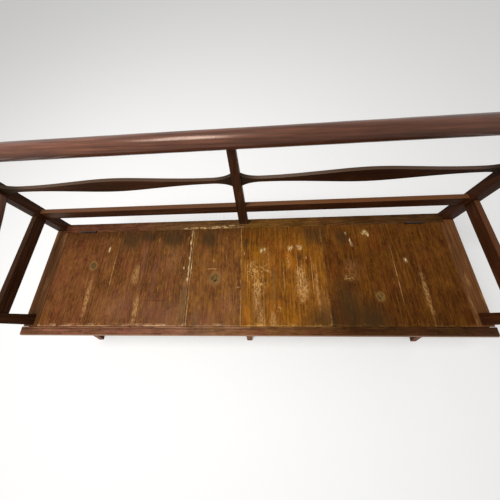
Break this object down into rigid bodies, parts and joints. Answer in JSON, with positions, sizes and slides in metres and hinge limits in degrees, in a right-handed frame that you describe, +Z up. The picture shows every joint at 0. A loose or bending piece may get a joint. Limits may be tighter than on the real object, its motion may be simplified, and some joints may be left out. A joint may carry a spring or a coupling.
{
  "type": "pull-out bench bed",
  "caption": "Long open-back wooden bench with a lift-up seat lid over a slatted box, whose front slides out on legs to make a bed.",
  "frame": {"origin": "on the floor under the middle of the whole bench's box", "axes": "+X along the bench to its right end, +Y from the front to the back, +Z up"},
  "size_m": [1.914, 0.606, 0.913],
  "materials": {
    "stained_rail": "satin",
    "dark_stained_frame": "satin",
    "worn_seat_paint": "satin",
    "bare_pine": "matte",
    "old_iron": "matte"
  },
  "bodies": {
    "bench": {"arm_left": "stained_rail", "arm_lower_rail_left": "dark_stained_frame", "arm_lower_rail_right": "dark_stained_frame", "arm_post_left": "dark_stained_frame", "arm_post_right": "dark_stained_frame", "arm_right": "stained_rail", "back_board": "dark_stained_frame", "back_frame_pegs": "bare_pine", "centre_rear_leg": "dark_stained_frame", "centre_stile": "dark_stained_frame", "end_board_left": "dark_stained_frame", "end_board_right": "dark_stained_frame", "fixed_slat_nails": "old_iron", "fixed_slats": "bare_pine", "front_bearer": "bare_pine", "hinge_pins": "old_iron", "hinge_rail_leaves": "old_iron", "hinge_rail_screws": "old_iron", "kicker_left": "bare_pine", "kicker_right": "bare_pine", "lid_cleat_left": "bare_pine", "lid_cleat_right": "bare_pine", "lower_rail_left": "dark_stained_frame", "lower_rail_right": "dark_stained_frame", "middle_rail_left": "dark_stained_frame", "middle_rail_right": "dark_stained_frame", "rear_ledger": "bare_pine", "rear_post_left": "dark_stained_frame", "rear_post_right": "dark_stained_frame", "rear_seat_rail": "worn_seat_paint", "runner_left": "bare_pine", "runner_right": "bare_pine", "seat_end_rail_left": "worn_seat_paint", "seat_end_rail_right": "worn_seat_paint", "top_rail": "stained_rail"},
    "pull_out": {"cap_rail_dowels": "bare_pine", "front_board": "dark_stained_frame", "front_cap_rail": "stained_rail", "front_leg_centre": "dark_stained_frame", "front_leg_left": "dark_stained_frame", "front_leg_right": "dark_stained_frame", "side_rail_left": "bare_pine", "side_rail_right": "bare_pine", "slide_batten": "bare_pine", "slide_screws": "old_iron", "sliding_slats": "bare_pine"},
    "lid": {"hinge_lid_leaves": "old_iron", "hinge_lid_screws": "old_iron", "lid_batten_front": "bare_pine", "lid_batten_rear": "bare_pine", "lid_board_1": "worn_seat_paint", "lid_board_2": "worn_seat_paint", "lid_board_3": "worn_seat_paint", "lid_board_4": "worn_seat_paint", "lid_board_5": "worn_seat_paint", "lid_board_6": "worn_seat_paint", "lid_board_7": "worn_seat_paint", "lid_board_8": "worn_seat_paint", "lid_screws": "old_iron"}
  },
  "joints": [
    {"name": "pull_out_slide", "type": "slide", "parent": "bench", "child": "pull_out", "axis": [0, -1, 0], "range_m": [0, 0.38]},
    {"name": "lid_hinge", "type": "hinge", "parent": "bench", "child": "lid", "pos_m": [0, 0.21087, 0.4543], "axis": [-1, 0, 0], "range_deg": [0, 95]}
  ]
}
